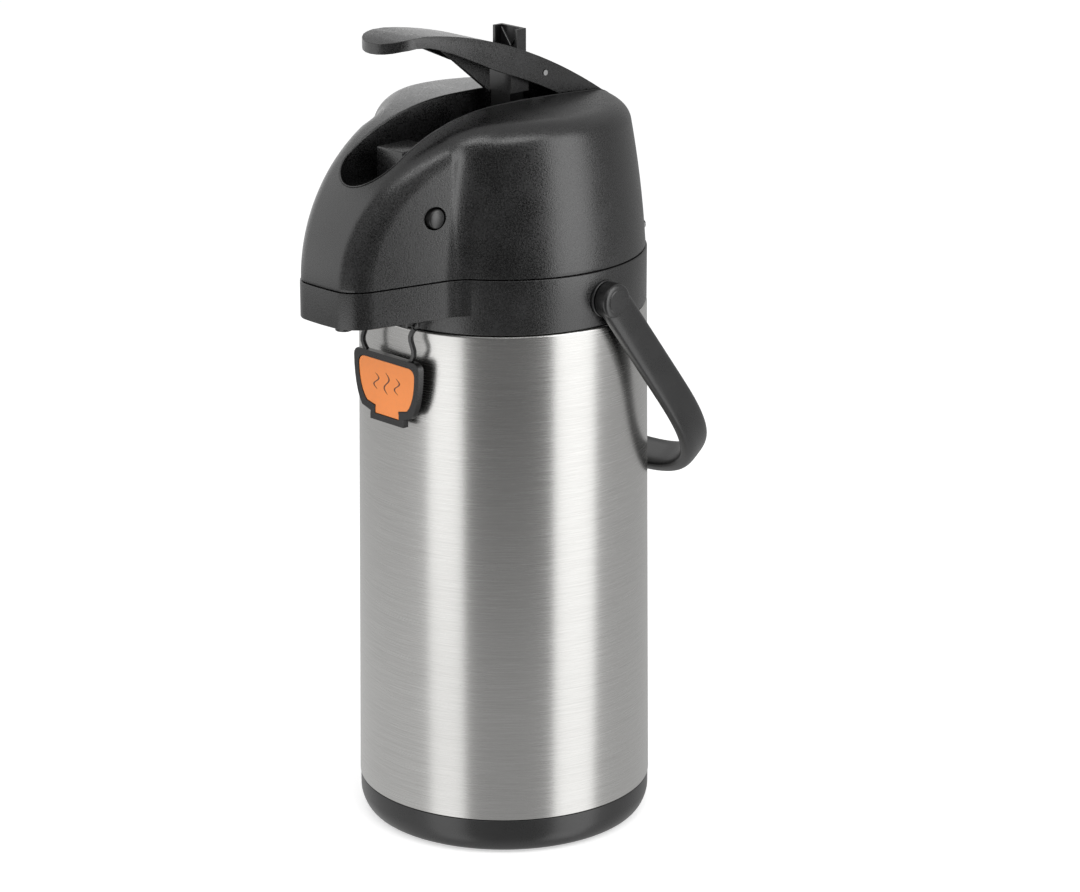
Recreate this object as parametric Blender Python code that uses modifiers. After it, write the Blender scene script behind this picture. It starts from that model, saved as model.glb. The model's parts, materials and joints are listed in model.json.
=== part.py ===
"""Lever airpot: a steel vacuum jug with a hinged pump lid, a press lever and a swinging handle.

Sizes are in metres. The jug's axis is Z, its rest face is z = 0 and the spout points to -Y.
"""

from math import copysign, cos, hypot, pi, radians, sin

import bmesh
import bpy
from mathutils import Matrix, Vector

# Heights of the seams, from the table up.
BASE_TOP = 0.0201
SHELL_TOP = 0.2817
COLLAR_BOTTOM = 0.2821
COLLAR_TOP = 0.3107
LID_BOTTOM = 0.3111
CROWN_TOP = 0.3900

# Radii of the jug.
SHELL_R = 0.0775
SHELL_TOP_R = 0.0748
SHEET = 0.0008
LINER_R = 0.0700
LINER_SHEET = 0.0007
NECK_R = 0.0418
COLLAR_R = 0.0746
WALL = 0.0024
GAP = 0.0004

# The lid's form: a drum that tapers upwards, with a snout that narrows forwards.
LID_R = 0.0739
NOSE_CENTRE = -0.020
NOSE_REACH = 0.105
NOSE_POWER = 2.09
NOSE_BULGE = 3.0
CROWN_CAMBER = 0.8
CROWN_FALL = 0.6
CHEEK_ROOT = 0.036
CHEEK_START = -0.068
CHEEK_TAPER = 0.25
SHOULDER_FILLET = 0.010
CHEEK_FILLET = 0.010
JUNCTION_FILLET = 0.007
LID_WALL = 0.0026

# The recess that the lever closes into.
SLOT_HALF = 0.0175
SLOT_FRONT = -0.105
SLOT_REAR = 0.0605
SLOT_FLOOR = 0.3555
SLOT_WALL = 0.0022
STOP_BLOCK = ((-0.010, -0.078, 0.3550), (0.010, -0.056, 0.3735))

# The lever, its hinge and the pin that drives the pump.
LEVER_HALF = 0.016
LEVER_WALL = 0.0020
LEVER_TIP = -0.0900
LEVER_CREST = (-0.0928, 0.4330)
LEVER_CURVE = 2.12
LEVER_DROOP = (-0.0640, 5.4)
LEVER_REAR = 0.0580
LEVER_TAIL = (0.0650, 0.3785)
LEVER_HINGE = (0.0510, 0.3745)
DRIVE_PIN = (0.0150, 0.4010)
HINGE_PIN_R = 0.0020
DRIVE_PIN_R = 0.0015

# The pump under the recess.
ROD_BOTTOM = 0.3518
CAN_R = 0.0425
FLANGE_R = 0.0600
FLANGE_Z = (0.3125, 0.3150)
BELLOWS_Z = (0.3154, 0.3480)
SCREW_CIRCLE = 0.054
SCREW_ANGLES = (35, 145, 215, 325)

# The handle.
PIVOT_Z = 0.2962
HANDLE_HALF = 0.0804
HANDLE_LEAN = radians(37.2)
HANDLE_STRAIGHT = 0.066
HANDLE_LENGTH = 0.143
HANDLE_POWER = 2.85
HANDLE_WIDTH = 0.0182
HANDLE_THICK = 0.0083

# The lid's hinge, the spout, the buttons and the tag.
LID_HINGE = (0.0782, 0.3109)
KNUCKLE_R = 0.0030
SPOUT_Y = -0.110
PIPE_Z = 0.3080
PIPE_R = 0.0035
BUTTON = (0.0335, -0.078, 0.344)
TAG_Y = (-0.0820, -0.0785)
TAG_TOP = 0.2670
TAG_BOTTOM = 0.2310
TAG_AXIS = (-0.0803, 0.2879)
EYE_X = 0.0203

BIG = 48
SMALL = 16


# ---------------------------------------------------------------- scene and materials

for old in list(bpy.data.objects):
    bpy.data.objects.remove(old, do_unlink=True)

PARTS = bpy.data.collections.new("lever_airpot")
CUTTERS = bpy.data.collections.new("cutters")
bpy.context.scene.collection.children.link(PARTS)
bpy.context.scene.collection.children.link(CUTTERS)


def finish(name, colour, roughness, metallic=0.0):
    material = bpy.data.materials.new(name)
    material.use_nodes = True
    shader = material.node_tree.nodes["Principled BSDF"]
    shader.inputs["Base Color"].default_value = (*colour, 1.0)
    shader.inputs["Roughness"].default_value = roughness
    shader.inputs["Metallic"].default_value = metallic
    return material


GRAINED = finish("grained_black_plastic", (0.028, 0.028, 0.029), 0.55)
SATIN = finish("satin_black_plastic", (0.016, 0.016, 0.017), 0.38)
STEEL = finish("brushed_steel", (0.62, 0.61, 0.59), 0.28, 1.0)
LINER_STEEL = finish("liner_steel", (0.66, 0.66, 0.65), 0.22, 1.0)
PIN_STEEL = finish("pin_steel", (0.70, 0.70, 0.70), 0.20, 1.0)
RUBBER = finish("black_rubber", (0.012, 0.012, 0.012), 0.80)
SILICONE = finish("white_silicone", (0.72, 0.72, 0.70), 0.50)
WHITE = finish("white_plastic", (0.70, 0.70, 0.68), 0.45)
ORANGE = finish("orange_plastic", (0.84, 0.26, 0.06), 0.45)


# ---------------------------------------------------------------- makers of shapes

def place(name, data, material):
    """Link an object with this mesh or curve, and give it its material."""
    piece = bpy.data.objects.new(name, data)
    PARTS.objects.link(piece)
    if material:
        data.materials.append(material)
    return piece


def from_bmesh(name, shape, material):
    mesh = bpy.data.meshes.new(name)
    shape.to_mesh(mesh)
    shape.free()
    return place(name, mesh, material)


def round_off(mesh):
    mesh.shade_smooth()
    mesh.set_sharp_from_angle(angle=radians(35))


def turned(name, profile, material, closed=True, steps=BIG):
    """Turn a profile of (radius, height) points about Z; it runs down its outer side."""
    count = len(profile)
    edges = [(i, i + 1) for i in range(count - 1)]
    if closed:
        edges.append((count - 1, 0))
    mesh = bpy.data.meshes.new(name)
    mesh.from_pydata([(r, 0.0, z) for r, z in profile], edges, [])
    piece = place(name, mesh, material)
    screw = piece.modifiers.new("turn", "SCREW")
    screw.steps = steps
    screw.render_steps = steps
    screw.use_merge_vertices = True
    screw.merge_threshold = 0.00001
    screw.use_smooth_shade = True
    return piece


def turned_sideways(name, profile, material, side, y, z, steps=SMALL):
    """Turn a profile of (radius, distance out along X) points about an X axis."""
    piece = turned(name, profile, material, profile[0][0] > 0 or profile[-1][0] > 0, steps)
    piece.location = (0.0, y, z)
    piece.rotation_euler = (0.0, side * pi / 2, 0.0)
    return piece


def block(name, low, high, material=None):
    shape = bmesh.new()
    bmesh.ops.create_cube(shape, size=1.0)
    low, high = Vector(low), Vector(high)
    bmesh.ops.scale(shape, vec=high - low, verts=shape.verts)
    bmesh.ops.translate(shape, vec=(low + high) / 2, verts=shape.verts)
    return from_bmesh(name, shape, material)


def bar(name, start, end, radius, material=None, steps=SMALL):
    """A round bar between two points."""
    start, end = Vector(start), Vector(end)
    shape = bmesh.new()
    bmesh.ops.create_cone(shape, cap_ends=True, segments=steps, radius1=radius, radius2=radius,
                          depth=(end - start).length)
    turn = Vector((0, 0, 1)).rotation_difference(end - start).to_matrix().to_4x4()
    bmesh.ops.transform(shape, matrix=Matrix.Translation((start + end) / 2) @ turn, verts=shape.verts)
    piece = from_bmesh(name, shape, material)
    round_off(piece.data)
    return piece


def cross_bar(name, half, y, z, radius, material=None, steps=SMALL):
    """A round bar along X, centred on the plane x = 0."""
    return bar(name, (-half, y, z), (half, y, z), radius, material, steps)


PLANES = {
    "XY": Matrix(((1, 0, 0), (0, 1, 0), (0, 0, 1))),
    "YZ": Matrix(((0, 0, 1), (1, 0, 0), (0, 1, 0))),
    "XZ": Matrix(((1, 0, 0), (0, 0, -1), (0, 1, 0))),
}


def baked(curve_object):
    """Turn a curve object into a mesh object of the same name, with its caps welded."""
    bpy.context.view_layer.update()
    evaluated = curve_object.evaluated_get(bpy.context.evaluated_depsgraph_get())
    mesh = bpy.data.meshes.new_from_object(evaluated)
    name = curve_object.name
    matrix = curve_object.matrix_world.copy()
    bpy.data.objects.remove(curve_object, do_unlink=True)
    shape = bmesh.new()
    shape.from_mesh(mesh)
    bmesh.ops.remove_doubles(shape, verts=shape.verts, dist=0.000005)
    bmesh.ops.recalc_face_normals(shape, faces=shape.faces)
    shape.to_mesh(mesh)
    shape.free()
    mesh.name = name
    piece = bpy.data.objects.new(name, mesh)
    PARTS.objects.link(piece)
    piece.matrix_world = matrix
    return piece


def plate(name, outline, low, high, material=None, plane="XY"):
    """Extrude a flat outline between two heights on the plane's third axis."""
    curve = bpy.data.curves.new(name, "CURVE")
    curve.dimensions = "2D"
    curve.fill_mode = "BOTH"
    curve.extrude = (high - low) / 2
    spline = curve.splines.new("POLY")
    spline.points.add(len(outline) - 1)
    for point, (u, v) in zip(spline.points, outline):
        point.co = (u, v, 0.0, 1.0)
    spline.use_cyclic_u = True
    piece = baked(place(name, curve, material))
    middle = -(low + high) / 2 if plane == "XZ" else (low + high) / 2
    piece.data.transform(PLANES[plane].to_4x4() @ Matrix.Translation((0, 0, middle)))
    return piece


def tube(name, points, radius, material=None, resolution=2, caps=True):
    """A round tube or wire along a list of points."""
    curve = bpy.data.curves.new(name, "CURVE")
    curve.dimensions = "3D"
    curve.bevel_depth = radius
    curve.bevel_resolution = resolution
    curve.use_fill_caps = caps
    spline = curve.splines.new("POLY")
    spline.points.add(len(points) - 1)
    for point, place_at in zip(spline.points, points):
        point.co = (*place_at, 1.0)
    return place(name, curve, material)


def combine(piece, tool, operation, thorough=False):
    """Cut a tool from a piece or weld it on; the tool is kept among the cutters."""
    modifier = piece.modifiers.new(tool.name, "BOOLEAN")
    modifier.operation = operation
    modifier.object = tool
    modifier.use_self = thorough
    if tool.name in PARTS.objects:
        PARTS.objects.unlink(tool)
        CUTTERS.objects.link(tool)
    tool.hide_render = True
    tool.display_type = "WIRE"


def cut(piece, *tools):
    for tool in tools:
        combine(piece, tool, "DIFFERENCE")


def weld(piece, *tools):
    for tool in tools:
        combine(piece, tool, "UNION")


def arc(centre, radius, start, end, count):
    """Points on an arc, its angles in degrees."""
    angles = [radians(start + (end - start) * i / count) for i in range(count + 1)]
    return [(centre[0] + radius * cos(a), centre[1] + radius * sin(a)) for a in angles]


# ---------------------------------------------------------------- the lid's form

def rounded_max(a, b, radius):
    """The larger of two distances, with a fillet where the two surfaces meet."""
    if min(a, b) <= -radius:
        return max(a, b)
    return hypot(a + radius, b + radius) - radius


def lid_form(x, y, z):
    """Roughly the distance from the lid's outer surface, negative inside."""
    rise = z - COLLAR_TOP
    fall = CROWN_FALL * max(y - NOSE_CENTRE, 0.0) ** 2 + CROWN_CAMBER * x * x
    height = max(rise + fall, 0.0) / (CROWN_TOP - COLLAR_TOP)
    forward = max(NOSE_CENTRE - y + NOSE_BULGE * x * x, 0.0) / NOSE_REACH
    top = ((forward ** NOSE_POWER + height ** NOSE_POWER) ** (1 / NOSE_POWER) - 1) * 0.095
    side = hypot(x, y) - (LID_R - 0.06 * rise - 0.9 * rise * abs(rise))
    cheek = abs(x) - (CHEEK_ROOT - CHEEK_TAPER * max(CHEEK_START - y, 0.0))
    wall = -rounded_max(-side, -max(cheek, y + 0.010), JUNCTION_FILLET)
    t = min(max((y + 0.070) / 0.050, 0.0), 1.0)
    return rounded_max(wall, top, CHEEK_FILLET + (SHOULDER_FILLET - CHEEK_FILLET) * t)


def reach(origin, direction, inset):
    """Distance from a point inside the lid to its surface, less the inset."""
    near, far = 0.0, 0.2
    for _ in range(32):
        middle = (near + far) / 2
        point = origin + direction * middle
        if lid_form(*point) + inset < 0:
            near = middle
        else:
            far = middle
    return near


def column_angle(index, count):
    """Angles round the jug, closer together towards the snout."""
    t = 2.0 * index / count - 1.0
    return -pi / 2 + copysign(pi * abs(t) ** 1.35, t)


def lid_dome(name, inset, floor, columns, rows, material=None):
    """A closed solid inside the lid's form, flat at its floor, lofted from unlike rings."""
    origin = Vector((0.0, 0.0, floor))
    shape = bmesh.new()
    rings = []
    for row in range(rows):
        lift = (pi / 2) * row / rows
        ring = []
        for column in range(columns):
            angle = column_angle(column, columns)
            direction = Vector((cos(lift) * cos(angle), cos(lift) * sin(angle), sin(lift)))
            ring.append(shape.verts.new(origin + direction * reach(origin, direction, inset)))
        rings.append(ring)
    up = Vector((0, 0, 1))
    crown = shape.verts.new(origin + up * reach(origin, up, inset))
    shape.faces.new(reversed(rings[0]))
    for lower, upper in zip(rings, rings[1:]):
        for i in range(columns):
            j = (i + 1) % columns
            shape.faces.new((lower[i], lower[j], upper[j], upper[i]))
    for i in range(columns):
        shape.faces.new((rings[-1][i], rings[-1][(i + 1) % columns], crown))
    piece = from_bmesh(name, shape, material)
    round_off(piece.data)
    return piece


def snout_outline(inset, spread, closing_y, count=20):
    """The snout's plan at the seam, closed behind on a straight line."""
    origin = Vector((0.0, 0.0, COLLAR_TOP))
    points = []
    for i in range(count + 1):
        t = 2.0 * i / count - 1.0
        angle = -pi / 2 + copysign(radians(spread) * abs(t) ** 1.2, t)
        direction = Vector((cos(angle), sin(angle), 0.0))
        point = direction * reach(origin, direction, inset)
        points.append((point.x, point.y))
    half = points[-1][0]
    return points + [(half, closing_y), (-half, closing_y)]


# ---------------------------------------------------------------- base and vacuum jug

def make_base():
    inner = SHELL_R - SHEET - GAP
    turned("base_cap", [
        (0.0, 0.0042), (inner - WALL, 0.0042), (inner - WALL, 0.0240), (inner, 0.0240),
        (inner, BASE_TOP - 0.0002), (0.0772, BASE_TOP - 0.0002), (0.0772, 0.0085), (0.0764, 0.0048),
        (0.0745, 0.0020), (0.0718, 0.0006), (0.0605, 0.0006), (0.0605, 0.0022), (0.0, 0.0022),
    ], SATIN, closed=False)
    turned("rubber_foot", [
        (0.0, 0.0019), (0.0600, 0.0019), (0.0600, 0.0004), (0.0590, 0.0), (0.0, 0.0),
    ], RUBBER, closed=False)


def make_jug():
    turned("steel_shell", [
        (0.0444, SHELL_TOP), (0.0735, SHELL_TOP), (0.0744, 0.2813), (SHELL_TOP_R, 0.2803),
        (SHELL_R, BASE_TOP + 0.0002), (SHELL_R - SHEET, BASE_TOP + 0.0002),
        (SHELL_TOP_R - SHEET, 0.2800), (0.0733, SHELL_TOP - SHEET), (0.0444, SHELL_TOP - SHEET),
    ], STEEL)
    turned("bottom_plate", [(0.0, 0.0262), (0.0762, 0.0262), (0.0762, 0.0250), (0.0, 0.0250)],
           LINER_STEEL, closed=False)
    s = LINER_SHEET
    outer = [
        (0.0432, 0.2912), (0.0432, 0.2900), (NECK_R, 0.2896), (NECK_R, 0.2790), (0.0450, 0.2740),
        (0.0600, 0.2680), (0.0672, 0.2640), (LINER_R, 0.2570), (LINER_R, 0.0360), (0.0680, 0.0315),
        (0.0630, 0.0300), (0.0, 0.0300),
    ]
    inner = [
        (0.0, 0.0300 + s), (0.0628, 0.0300 + s), (0.0674, 0.0320), (LINER_R - s, 0.0362),
        (LINER_R - s, 0.2567), (0.0667, 0.2633), (0.0597, 0.2673), (0.0446, 0.2734),
        (NECK_R - s, 0.2787), (NECK_R - s, 0.2912),
    ]
    turned("inner_liner", inner + outer, LINER_STEEL, closed=False, steps=40)
    turned("collar_gasket", [(0.0620, 0.2862), (0.0620, 0.2821), (0.0500, 0.2821), (0.0500, 0.2862)],
           RUBBER, steps=32)


# ---------------------------------------------------------------- collar with the snout's underside

def make_collar():
    deck_low, deck_high, bore = 0.2866, 0.2886, 0.0470
    inner = COLLAR_R - WALL
    spare = 0.002
    collar = turned("collar", [
        (COLLAR_R, COLLAR_TOP + spare), (COLLAR_R, COLLAR_BOTTOM), (inner, COLLAR_BOTTOM),
        (inner, deck_low), (bore, deck_low), (bore, deck_high), (inner, deck_high),
        (inner, COLLAR_TOP + spare),
    ], GRAINED)
    tray = plate("snout_tray", snout_outline(0.0, 30, -0.060), 0.2920, COLLAR_TOP + 2 * spare)
    hollow = plate("snout_hollow", snout_outline(WALL, 24, -0.054), 0.2944, COLLAR_TOP + 4 * spare)
    above = block("seam_plane", (-0.1, -0.2, COLLAR_TOP), (0.1, 0.1, COLLAR_TOP + 5 * spare))
    nozzle_way = plate("nozzle_way", arc((0, SPOUT_Y), 0.0052, 0, 180, 6)
                       + arc((0, SPOUT_Y - 0.003), 0.0052, 180, 360, 6), 0.2900, 0.2960)
    pivot_way = cross_bar("pivot_way", 0.080, 0.0, PIVOT_Z, 0.0058)
    lug = [(0.0728, 0.3098)] + arc(LID_HINGE, KNUCKLE_R, 201.5, -60, 12) + [(0.0728, 0.3010)]
    lugs = [plate(f"collar_lug_{side}", lug, start, start + 0.0135, None, "YZ")
            for side, start in (("left", -0.0240), ("right", 0.0105))]
    pin_way = cross_bar("hinge_pin_way", 0.030, *LID_HINGE, 0.0019, steps=12)
    combine(collar, tray, "UNION", thorough=True)
    cut(collar, hollow, above)
    weld(collar, *lugs)
    cut(collar, nozzle_way, pivot_way, pin_way)
    cross_bar("lid_hinge_pin", 0.0255, *LID_HINGE, 0.0016, PIN_STEEL, steps=12)
    turned("neck_ring", [(0.0540, 0.2908), (0.0540, 0.2890), (0.0438, 0.2890), (0.0438, 0.2908)],
           WHITE, steps=32)
    for side, name in ((1, "right"), (-1, "left")):
        turned_sideways(f"handle_bush_{name}", [
            (0.0096, 0.0759), (0.0096, 0.0750), (0.0054, 0.0750), (0.0054, 0.0716),
            (0.0043, 0.0716), (0.0043, 0.0759),
        ], SATIN, side, 0.0, PIVOT_Z)
        x = side * EYE_X
        eye = block(f"tag_eye_{name}", (x - 0.0015, -0.0880, 0.2870), (x + 0.0015, -0.0865, 0.2917), SATIN)
        rear = block(f"eye_rear_{name}", (x - 0.0015, -0.0741, 0.2870), (x + 0.0015, -0.0726, 0.2917))
        rod = bar(f"eye_rod_{name}", (x, -0.0872, TAG_AXIS[1]), (x, -0.0733, TAG_AXIS[1]), 0.0009, steps=8)
        weld(eye, rod, rear)


def make_stem():
    holder = turned("stem_holder", [
        (0.0425, 0.2931), (0.0425, 0.2916), (0.0388, 0.2916), (0.0388, 0.2800), (0.0362, 0.2800),
        (0.0362, 0.2905), (0.0085, 0.2905), (0.0085, 0.2760), (0.0056, 0.2760), (0.0056, 0.2931),
    ], WHITE, steps=32)
    for i in range(3):
        angle = radians(90 + 120 * i)
        x, y = 0.022 * cos(angle), 0.022 * sin(angle)
        cut(holder, bar(f"air_way_{i + 1}", (x, y, 0.2880), (x, y, 0.2960), 0.0040, steps=12))
    turned("dip_tube", [(0.0050, 0.2930), (0.0050, 0.0360), (0.0038, 0.0360), (0.0038, 0.2930)],
           WHITE, steps=12)


# ---------------------------------------------------------------- lid

def slot_outline(grow):
    half = SLOT_HALF + grow
    centre = SLOT_FRONT + SLOT_HALF
    rear = SLOT_REAR + grow
    return arc((0.0, centre), half, 180, 360, 12) + [(half, rear), (-half, rear)]


def screw_places():
    angles = [radians(angle) for angle in SCREW_ANGLES]
    return [(SCREW_CIRCLE * cos(angle), SCREW_CIRCLE * sin(angle)) for angle in angles]


def make_lid():
    lid = lid_dome("lid_cover", 0.0, LID_BOTTOM, 48, 13, GRAINED)
    cavity = lid_dome("lid_cavity", LID_WALL, LID_BOTTOM - 0.002, 40, 9)
    well = plate("recess_well", slot_outline(SLOT_WALL), SLOT_FLOOR - SLOT_WALL, 0.3980)
    cut(cavity, well)
    for number, (x, y) in enumerate(screw_places(), 1):
        post = bar(f"screw_post_{number}", (x, y, FLANGE_Z[1] + GAP), (x, y, 0.3900), 0.0042, steps=12)
        cut(post, bar(f"screw_hole_{number}", (x, y, 0.3100), (x, y, 0.3280), 0.0019, steps=8))
        cut(cavity, post)
    slot = plate("recess_slot", slot_outline(0.0), SLOT_FLOOR, 0.4000)
    pad = block("stop_block", *STOP_BLOCK)
    rod_way = block("rod_way", (-0.0075, -0.0045, 0.3500), (0.0075, 0.0085, 0.3600))
    button_way = cross_bar("button_way", 0.042, BUTTON[1], BUTTON[2], 0.0060)
    pin_way = cross_bar("lever_pin_way", 0.0202, *LEVER_HINGE, 0.0023, steps=12)
    lug = arc(LID_HINGE, KNUCKLE_R, -191.5, 90, 12) + [(0.0722, LID_HINGE[1] + KNUCKLE_R), (0.0722, 0.3115)]
    lug = plate("lid_lug", lug, -0.0098, 0.0098, None, "YZ")
    hinge_way = cross_bar("lid_hinge_way", 0.030, *LID_HINGE, 0.0019, steps=12)
    notch = block("tail_notch", (-SLOT_HALF, SLOT_REAR - 0.001, LEVER_TAIL[1] - 0.0010),
                  (SLOT_HALF, 0.0720, 0.3990))
    cut(slot, pad)
    cut(lid, cavity, slot, notch)
    for number, (x, y) in enumerate(screw_places(), 1):
        screw = bar(f"lid_screw_{number}", (x, y, 0.3103), (x, y, FLANGE_Z[0] - 0.0003), 0.0034,
                    PIN_STEEL, steps=12)
        weld(screw, bar(f"screw_shank_{number}", (x, y, 0.3115), (x, y, 0.3260), 0.0015, steps=8))
    weld(lid, lug)
    cut(lid, rod_way, button_way, pin_way, hinge_way)
    cross_bar("lever_pin", 0.0192, *LEVER_HINGE, HINGE_PIN_R, PIN_STEEL, steps=12)
    bush = block("guide_bush", (-0.0100, -0.0070, SLOT_FLOOR + 0.0003), (0.0100, 0.0110, 0.3610), SATIN)
    cut(bush, block("bush_way", (-0.0075, -0.0045, 0.3500), (0.0075, 0.0085, 0.3700)))


def make_pump():
    flange_low, flange_high = FLANGE_Z
    inside = CAN_R - 0.0022
    housing = turned("pump_housing", [
        (FLANGE_R, flange_high), (FLANGE_R, flange_low), (CAN_R, flange_low), (CAN_R, 0.2966),
        (0.0085, 0.2966), (0.0085, 0.2935), (0.0056, 0.2935), (0.0056, 0.3020), (0.0085, 0.3020),
        (0.0085, 0.2987), (inside, 0.2987), (inside, flange_high),
    ], WHITE, steps=40)
    cut(housing, bar("pipe_way", (0, -0.030, PIPE_Z), (0, -0.050, PIPE_Z), PIPE_R + 0.0005, steps=12))
    cut(housing, bar("valve_way", (0, 0.024, 0.2950), (0, 0.024, 0.3000), 0.0030, steps=12))
    for number, (x, y) in enumerate(screw_places(), 1):
        cut(housing, bar(f"flange_hole_{number}", (x, y, 0.3110), (x, y, 0.3165), 0.0019, steps=8))
    turned("air_valve", [(0.0, 0.3000), (0.0050, 0.3000), (0.0050, 0.2990), (0.0, 0.2990)],
           SILICONE, closed=False, steps=12).location = (0.0, 0.024, 0.0)
    for name, outer, inner in (("lid_gasket", 0.0405, 0.0340), ("riser_seal", 0.0120, 0.0089)):
        turned(name, [(outer, 0.2963), (outer, 0.2934), (inner, 0.2934), (inner, 0.2963)],
               SILICONE, steps=24)
    bend = [(0.0, y, z) for y, z in arc((-0.0055, PIPE_Z - 0.0055), 0.0055, 0, 90, 3)]
    drop = [(0.0, y, z) for y, z in arc((SPOUT_Y + 0.008, PIPE_Z - 0.008), 0.008, 90, 180, 4)]
    pipe = tube("outlet_pipe", bend + drop + [(0.0, SPOUT_Y, 0.2985)], PIPE_R, SILICONE, caps=False)
    wall = pipe.modifiers.new("wall", "SOLIDIFY")
    wall.thickness = 0.0010
    wall.offset = -1.0
    turned("nozzle", [
        (0.0056, 0.2980), (0.0056, 0.2965), (0.0047, 0.2965), (0.0047, 0.2860), (0.0037, 0.2860),
        (0.0037, 0.2980),
    ], SATIN, steps=SMALL).location = (0.0, SPOUT_Y, 0.0)
    low, high = BELLOWS_Z
    folds = 8
    outer = [(0.0380 if i % 2 else 0.0315, high - (high - low) * i / folds) for i in range(folds + 1)]
    inner = [(r - 0.0012, z) for r, z in reversed(outer)]
    turned("bellows", outer + inner, RUBBER, steps=28)
    turns, per_turn = 5, 10
    coil = [(0.014 * cos(2 * pi * i / per_turn), 0.014 * sin(2 * pi * i / per_turn),
             low + 0.0012 + (high - low - 0.0024) * i / (turns * per_turn))
            for i in range(turns * per_turn + 1)]
    baked(tube("return_spring", coil, 0.0008, PIN_STEEL))


# ---------------------------------------------------------------- lever and pump rod

def lever_top(y):
    start, bend = LEVER_DROOP
    return LEVER_CREST[1] - LEVER_CURVE * (y - LEVER_CREST[0]) ** 2 - bend * max(start - y, 0.0) ** 2


def lever_depth(y):
    t = min(max((y + 0.075) / 0.065, 0.0), 1.0)
    return 0.0055 + 0.0095 * t * t * (3 - 2 * t)


def steps_between(start, end, count):
    return [start + (end - start) * i / count for i in range(count + 1)]


def make_lever():
    tip, hinge_y, hinge_z = LEVER_TIP, *LEVER_HINGE
    tail_y, tail_z = LEVER_TAIL
    over = [(y, lever_top(y)) for y in steps_between(tip, tail_y, 20)]
    under = [(y, lever_top(y) - lever_depth(y)) for y in steps_between(0.028, tip, 14)]
    heel = [(tail_y, tail_z), (LEVER_REAR, tail_z), (LEVER_REAR, 0.3705),
            (LEVER_REAR - 0.002, hinge_z - 0.006), (hinge_y - 0.004, hinge_z - 0.006),
            (hinge_y - 0.010, hinge_z - 0.001)]
    lever = plate("lever", over + heel + under, -LEVER_HALF, LEVER_HALF, GRAINED, "YZ")
    plan = arc((0.0, tip + LEVER_HALF), LEVER_HALF, 180, 360, 12) + [
        (LEVER_HALF, tail_y + 0.002), (-LEVER_HALF, tail_y + 0.002)]
    combine(lever, plate("lever_plan", plan, 0.3500, 0.4400), "INTERSECT")
    half = LEVER_HALF - LEVER_WALL
    ceiling = [(y, lever_top(y) - 0.0022) for y in steps_between(tip + 0.014, LEVER_REAR - 0.002, 14)]
    channel = plate("lever_channel", ceiling + [(LEVER_REAR - 0.002, 0.3600), (tip + 0.014, 0.3600)],
                    -half, half, None, "YZ")
    web = [(y, lever_top(y) - 0.0012) for y in (-0.045, -0.033, -0.021, -0.010)]
    web = plate("lever_web", web + [(-0.010, 0.3925), (-0.045, 0.4205)], -0.0013, 0.0013, None, "YZ")
    window = block("post_window", (-0.0105, 0.0005, 0.3950), (0.0105, 0.0290, 0.4200))
    cut(lever, channel, window, cross_bar("lever_hinge_way", 0.020, *LEVER_HINGE, 0.0023, steps=12),
        cross_bar("drive_pin_way", 0.020, *DRIVE_PIN, 0.0018, steps=12))
    weld(lever, web)
    cross_bar("drive_pin", 0.0163, *DRIVE_PIN, DRIVE_PIN_R, PIN_STEEL, steps=12)


def make_rod():
    rod = block("pump_rod", (-0.0095, -0.0030, 0.3915), (0.0095, 0.0095, 0.4030), SATIN)
    stem = block("rod_stem", (-0.0070, -0.0015, ROD_BOTTOM), (0.0070, 0.0080, 0.4000))
    post = block("rod_post", (-0.0090, 0.0018, 0.4000), (0.0090, 0.0082, 0.4240))
    groove = block("post_groove", (-0.0072, 0.0000, 0.4034), (0.0072, 0.0062, 0.4260))
    ear = block("rod_ear", (-0.0040, 0.0070, 0.3945), (0.0040, 0.0190, 0.4055))
    slot = block("ear_slot", (-0.0140, 0.0048, DRIVE_PIN[1] - 0.0026),
                 (0.0140, 0.0170, DRIVE_PIN[1] + 0.0026))
    weld(rod, stem, post, ear)
    cut(rod, groove, slot)
    turned("bellows_plate", [
        (0.0, 0.3515), (0.0300, 0.3515), (0.0300, 0.3484), (0.0, 0.3484),
    ], WHITE, closed=False, steps=28)


# ---------------------------------------------------------------- buttons, handle and tag

def make_buttons():
    x, y, z = BUTTON
    for side, name in ((1, "right"), (-1, "left")):
        turned_sideways(f"release_button_{name}", [
            (0.0, x + 0.0024), (0.0030, x + 0.0021), (0.0044, x + 0.0014), (0.0050, x + 0.0004),
            (0.0050, x - 0.0056), (0.0075, x - 0.0056), (0.0075, x - 0.0070), (0.0030, x - 0.0070),
            (0.0030, x - 0.0100), (0.0, x - 0.0100),
        ], SATIN, side, y, z)
        low, high = sorted((side * 0.0211, side * 0.0231))
        latch = block(f"latch_{name}", (low, y - 0.0050, 0.3040), (high, y + 0.0050, 0.3490), WHITE)
        low, high = sorted((side * 0.0211, side * 0.0275))
        weld(latch, block(f"latch_tooth_{name}", (low, y - 0.0050, 0.3040), (high, y + 0.0050, 0.3065)))


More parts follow.
